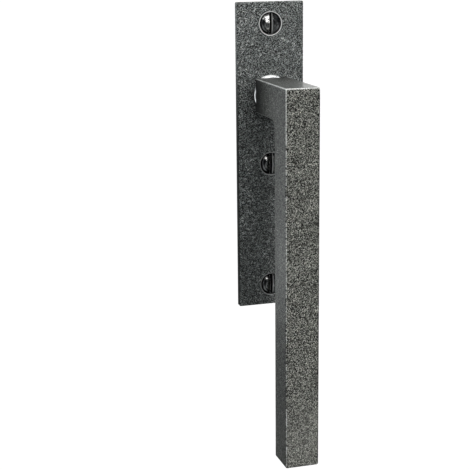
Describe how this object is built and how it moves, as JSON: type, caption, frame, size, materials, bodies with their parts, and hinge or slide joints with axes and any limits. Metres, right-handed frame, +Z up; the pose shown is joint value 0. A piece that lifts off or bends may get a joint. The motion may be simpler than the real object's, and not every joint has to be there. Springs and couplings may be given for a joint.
{
  "type": "sliding door lever handle",
  "caption": "Sliding door handle: a square lever bar that hangs beside a long rectangular backplate with slotted countersunk screws and turns half a turn.",
  "frame": {"origin": "on the spindle's axis, in the plane of the backplate's back face", "axes": "+X to the right seen from the room, +Y into the door along the spindle, +Z up along the plate"},
  "size_m": [0.05, 0.14, 0.3285],
  "materials": {
    "cast_plate": "dark cast metal with a fine mottled patina",
    "cast_bar": "dark cast metal, speckled, rubbed bright along its edges",
    "polished_collar": "turned and polished",
    "polished_screw": "dark polished steel",
    "bright_steel": "cold drawn bright steel",
    "black_steel": "black oxide",
    "spring_steel": "phosphated spring steel",
    "nylon": "natural nylon"
  },
  "bodies": {
    "lever": {"lever": "cast_bar", "spindle": "bright_steel", "grub_screw": "black_steel", "retaining_ring": "spring_steel"},
    "mounting": {"backplate": "cast_plate", "collar": "polished_collar", "bearing_bush": "nylon", "thrust_washer": "bright_steel", "spring_washer": "spring_steel", "screw_top": "polished_screw", "screw_middle": "polished_screw", "screw_bottom": "polished_screw"}
  },
  "joints": [
    {"name": "lever_turn", "type": "hinge", "parent": "mounting", "child": "lever", "pos_m": [0, 0, 0], "axis": [0, -1, 0], "range_deg": [0, 180]}
  ]
}
